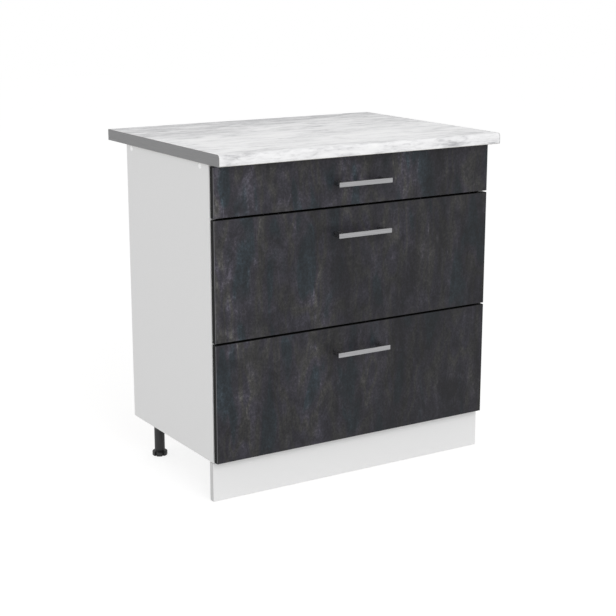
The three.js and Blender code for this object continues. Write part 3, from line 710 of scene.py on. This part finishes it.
# %% Rollers
tree, given = group(
    "turned_outline",
    Middle_Radius=("Float", 0.005), Segments=("Int", 56),
    Place=("Vector", (0.0, 0.0, 0.0)), Material=("Material", None),
)
line = add(tree, "GeometryNodeMeshToCurve", {"Mesh": given["Geometry"]}).outputs[0]
soft = {"Curve": line, "Count": 3, "Radius": 0.25 * MM}
soft = add(tree, "GeometryNodeFilletCurve", soft, mode="POLY").outputs[0]
circle = {"Resolution": given["Segments"], "Radius": given["Middle Radius"]}
circle = add(tree, "GeometryNodeCurvePrimitiveCircle", circle, mode="RADIUS").outputs[0]
ring = add(tree, "GeometryNodeCurveToMesh", {"Curve": circle, "Profile Curve": soft}).outputs[0]
placed = {"Geometry": ring, "Translation": given["Place"], "Rotation": (0.0, math.pi / 2, 0.0)}
close_group(tree, add(tree, "GeometryNodeTransform", placed).outputs[0], given["Material"])

BORE, HUB = 3.1 * MM, 5.2 * MM  # radii; the bore runs free on an axle of 2.8 mm
RECESS, RIM = 0.8 * MM, 0.7 * MM  # depth of the hub's recess, and chamfer of the rim


def roller(node, rule):
    """The roller that stands for this node, turned to the size of its box."""
    lo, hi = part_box(node)
    radius, half = (hi.z - lo.z) / 2, (hi.x - lo.x) / 2
    middle_radius = (BORE + radius) / 2
    near = [(BORE, half - RECESS), (HUB, half - RECESS), (HUB, half)]
    near += [(radius - RIM, half), (radius, half - RIM)]
    outline = near + [(r, -along) for r, along in reversed(near)]
    mesh = bpy.data.meshes.new(node)
    ends = [(i, (i + 1) % len(outline)) for i in range(len(outline))]
    mesh.from_pydata([(r - middle_radius, along, 0) for r, along in outline], ends, [])
    sizes = {"Middle_Radius": middle_radius, "Place": (lo + hi) / 2}
    piece = grown(f"{node}_turned", rule, mesh, Material=NYLON, **sizes)
    return settle(smoothed(piece, bend=40), node)


for drawer in DRAWERS:
    for side in SIDES:
        for owner in ("cabinet", "drawer"):
            piece = roller(f"{drawer}_{owner}_roller_{side}", tree)
print(piece.name, [round(d / MM, 2) for d in piece.dimensions], "mm")

# %% [markdown]
# ## Legs, feet and plinth clips
# Moulded black plastic. Every edge has the radius of its mould, and the sockets keep their thin
# ribs.

# %% Legs, feet and clips
for leg in LEGS:
    for node in (f"leg_socket_{leg}", f"foot_{leg}"):
        settle(dress(eased(node, "moulding", MOULD_ROUND), BLACK), node)
for side in SIDES:
    node = f"plinth_clip_{side}"
    settle(dress(eased(node, "moulding", CLIP_ROUND), BLACK), node)
print(len(LEGS), "legs")

# %% [markdown]
# ## Screws, caps and bumpers
# What holds the cabinet together: pan-head screws with a cross recess in the rails, the leg
# plates and the drawers, white caps over the two screws near each side's top edge, and soft
# bumpers in the corners of the fronts. All are one rule, a round head whose side draws in
# towards the top by an ellipse, with or without a recess. The rule is set on points that carry
# the direction the head looks in. Screws are never turned alike, so each gets its own twist.

# %% The rule for a head
tree, given = group(
    "round_head",
    Radius=("Float", 0.0035), Height=("Float", 0.002), Draw_In=("Float", 0.6),
    Recess=("Bool", True), Seed=("Int", 5), Material=("Material", None),
)
drum = {"Vertices": 28, "Side Segments": 7, "Radius": given["Radius"], "Depth": given["Height"]}
drum = add(tree, "GeometryNodeMeshCylinder", drum, fill_type="NGON").outputs["Mesh"]
at = add(tree, "GeometryNodeInputPosition").outputs[0]
parts = add(tree, "ShaderNodeSeparateXYZ", {"Vector": at}).outputs
lift = add(tree, "ShaderNodeMath", {0: given["Height"], 1: 0.5}, operation="MULTIPLY").outputs[0]
raised = add(tree, "ShaderNodeMath", {0: parts["Z"], 1: lift}, operation="ADD").outputs[0]
share = add(tree, "ShaderNodeMath", {0: raised, 1: given["Height"]}, operation="DIVIDE").outputs[0]
square = add(tree, "ShaderNodeMath", {0: share, 1: share}, operation="MULTIPLY").outputs[0]
less = {0: square, 1: given["Draw In"]}
less = add(tree, "ShaderNodeMath", less, operation="MULTIPLY").outputs[0]
left = add(tree, "ShaderNodeMath", {0: 1.0, 1: less}, operation="SUBTRACT").outputs[0]
width = add(tree, "ShaderNodeMath", {0: left}, operation="SQRT").outputs[0]
x = add(tree, "ShaderNodeMath", {0: parts["X"], 1: width}, operation="MULTIPLY").outputs[0]
y = add(tree, "ShaderNodeMath", {0: parts["Y"], 1: width}, operation="MULTIPLY").outputs[0]
to = add(tree, "ShaderNodeCombineXYZ", {"X": x, "Y": y, "Z": raised}).outputs[0]
head = add(tree, "GeometryNodeSetPosition", {"Geometry": drum, "Position": to}).outputs[0]
crossed = add(tree, "GeometryNodeMeshBoolean", {"Mesh 1": head}, operation="DIFFERENCE")
ARM, SLIT = 1.05, 0.24  # length and width of the recess, as shares of the head's radius
for turn in (0.0, math.pi / 2):
    arm, slit = (
        add(tree, "ShaderNodeMath", {0: given["Radius"], 1: part}, operation="MULTIPLY").outputs[0]
        for part in (ARM, SLIT)
    )
    size = add(tree, "ShaderNodeCombineXYZ", {"X": arm, "Y": slit, "Z": given["Height"]})
    bar = add(tree, "GeometryNodeMeshCube", {"Size": size.outputs[0]}).outputs["Mesh"]
    top = add(tree, "ShaderNodeCombineXYZ", {"Z": given["Height"]}).outputs[0]
    moved = {"Geometry": bar, "Translation": top, "Rotation": (0.0, 0.0, turn)}
    tree.links.new(add(tree, "GeometryNodeTransform", moved).outputs[0], crossed.inputs["Mesh 2"])
made = {"Switch": given["Recess"], "False": head, "True": crossed.outputs["Mesh"]}
made = result(add(tree, "GeometryNodeSwitch", made, input_type="GEOMETRY"))
axis = add(tree, "GeometryNodeInputNamedAttribute", {"Name": "axis"}, data_type="FLOAT_VECTOR")
aim = add(tree, "FunctionNodeAlignRotationToVector", {"Vector": result(axis)}, axis="Z").outputs[0]
twist = {"Min": (0.0, 0.0, 0.0), "Max": (0.0, 0.0, math.tau), "Seed": given["Seed"]}
twist = result(add(tree, "FunctionNodeRandomValue", twist, data_type="FLOAT_VECTOR"))
turned = {"Rotation": aim, "Rotate By": twist}
turned = add(tree, "FunctionNodeRotateRotation", turned, rotation_space="LOCAL").outputs[0]
set_on = {"Points": given["Geometry"], "Instance": made, "Rotation": turned}
copies = add(tree, "GeometryNodeInstanceOnPoints", set_on).outputs[0]
close_group(tree, copies, given["Material"])
HEAD = tree
print(HEAD.name, "has", len(HEAD.nodes), "nodes")

# %% Setting heads on points
def heads(name, body, slot, places, **values):
    """Heads at places, each a point and the direction that its head looks in."""
    mesh = bpy.data.meshes.new(name)
    mesh.from_pydata([point for point, _ in places], [], [])
    axes = mesh.attributes.new("axis", "FLOAT_VECTOR", "POINT")
    axes.data.foreach_set("vector", [c for _, axis in places for c in axis])
    piece = smoothed(grown(name, HEAD, mesh, **values))
    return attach(piece, body)


DOWN, BACK = (0, 0, -1), (0, 1, 0)
print("heads look along their point's axis")

# %% [markdown]
# The places follow from the boards and the steel that the screws hold. A rail is screwed into
# the side panel's rows of holes, and each leg's plate has a hole near every corner. The caps sit
# where the two top rails meet the sides.

# %% Screws and caps of the carcass
STEEL, SEAT = 1.2 * MM, 0.3 * MM  # the runners' sheet, and the room between touching pieces
FRONT_HOLES = (37 * MM, 165 * MM)  # panel's front edge to a rail's first and second screw
REAR_HOLE = 83 * MM  # panel's rear edge to its third
RAIL_SCREW_RISE = 12.5 * MM  # rail's lower edge to its screws
PLATE_INSET, PLATE_THICKNESS = 8 * MM, 5 * MM  # leg plate's edges to its holes, and its sheet
PAN = {"Radius": 3.4 * MM, "Height": 1.8 * MM, "Draw_In": 0.6, "Recess": True, "Material": ZINC}
CAP = {"Radius": 7 * MM, "Height": 1.6 * MM, "Draw_In": 0.75, "Recess": False}

rail_screws, leg_screws, caps = [], [], []
for side, sign in SIDES.items():
    lo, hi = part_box(f"side_panel_{side}")
    inner, outer = sorted((lo.x, hi.x), key=abs)
    rows = [lo.y + hole for hole in FRONT_HOLES] + [hi.y - REAR_HOLE]
    for drawer in DRAWERS:
        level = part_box(f"{drawer}_cabinet_rail_{side}")[0].z + RAIL_SCREW_RISE
        web = inner - sign * (SEAT + STEEL)
        rail_screws += [((web, y, level), (-sign, 0, 0)) for y in rows]
    for rail in ("top_rail_front", "top_rail_back"):
        middle = sum(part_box(rail), Vector()) / 2
        caps.append(((outer, middle.y, middle.z), (sign, 0, 0)))
for leg in LEGS:
    lo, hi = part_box(f"leg_socket_{leg}")
    for x in (lo.x + PLATE_INSET, hi.x - PLATE_INSET):
        for y in (lo.y + PLATE_INSET, hi.y - PLATE_INSET):
            leg_screws.append(((x, y, hi.z - PLATE_THICKNESS), DOWN))
heads("rail_screws", "carcass", "satin_metal", rail_screws, Seed=3, **PAN)
heads("leg_screws", "carcass", "satin_metal", leg_screws, Seed=4, **PAN)
heads("panel_screw_caps", "carcass", "roller_plastic", caps, Material=CAP_WHITE, **CAP)
print(len(rail_screws) + len(leg_screws), "screws and", len(caps), "caps in the carcass")

# %% [markdown]
# In a drawer, the handle is screwed on from behind, through the front. The front and the back
# are held through the flanges of the steel sides, from behind too, and the bottom board from
# below. The bumpers sit in the front's corners, where it meets the middle of a side panel.

# %% Screws and bumpers of the drawers
HANDLE_HOLES = 128 * MM
FRONT_FLANGE, BACK_FLANGE, UNDER_FLANGE = 13 * MM, 10 * MM, 7.5 * MM  # wall to their screws
DEEP_LEVELS = ((66, 108), (75, 165))  # front's lower edge to the screws of front and back
SCREW_LEVELS = {"top": ((62, 86), (60, 86)), "middle": DEEP_LEVELS, "bottom": DEEP_LEVELS}
UNDER_ROWS = (-205 * MM, -45 * MM, 115 * MM)
BUMPER = {"Radius": 4 * MM, "Height": 1.9 * MM, "Draw_In": 0.75, "Recess": False}
BUMPER_INSET = 10 * MM  # front's upper and lower edge to the bumpers

bumper_x = sum(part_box("side_panel_right"), Vector()).x / 2
for number, drawer in enumerate(DRAWERS):
    lo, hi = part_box(f"{drawer}_drawer_front")
    handle = sum(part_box(f"{drawer}_drawer_handle"), Vector()).z / 2
    steel_lo, steel_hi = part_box(f"{drawer}_drawer_side_right")
    board_lo, board_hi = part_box(f"{drawer}_drawer_bottom")
    wall, under = board_hi.x + SEAT, board_lo.z - SEAT - STEEL
    front_levels, back_levels = ([lo.z + z * MM for z in row] for row in SCREW_LEVELS[drawer])
    front_y, back_y = steel_lo.y + STEEL, steel_hi.y
    screws, bumpers = [], []
    for sign in SIDES.values():
        screws.append(((sign * HANDLE_HOLES / 2, hi.y, handle), BACK))
        screws += [((sign * (wall - FRONT_FLANGE), front_y, z), BACK) for z in front_levels]
        screws += [((sign * (wall - BACK_FLANGE), back_y, z), BACK) for z in back_levels]
        screws += [((sign * (wall - UNDER_FLANGE), y, under), DOWN) for y in UNDER_ROWS]
        edges = (lo.z + BUMPER_INSET, hi.z - BUMPER_INSET)
        bumpers += [((sign * bumper_x, hi.y, z), BACK) for z in edges]
    body = f"{drawer}_drawer"
    heads(f"{body}_screws", body, "satin_metal", screws, Seed=10 + number, **PAN)
    heads(f"{body}_bumpers", body, "roller_plastic", bumpers, Material=SILICONE, **BUMPER)
print(len(screws), "screws in each drawer")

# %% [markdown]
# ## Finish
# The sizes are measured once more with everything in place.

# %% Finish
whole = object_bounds()
sizes = {"frame_m": [list(c) for c in frame_box], "dressed_m": [list(c) for c in whole]}
print("the cabinet measures", [round((b - a) / MM, 1) for a, b in zip(*whole)], "mm")
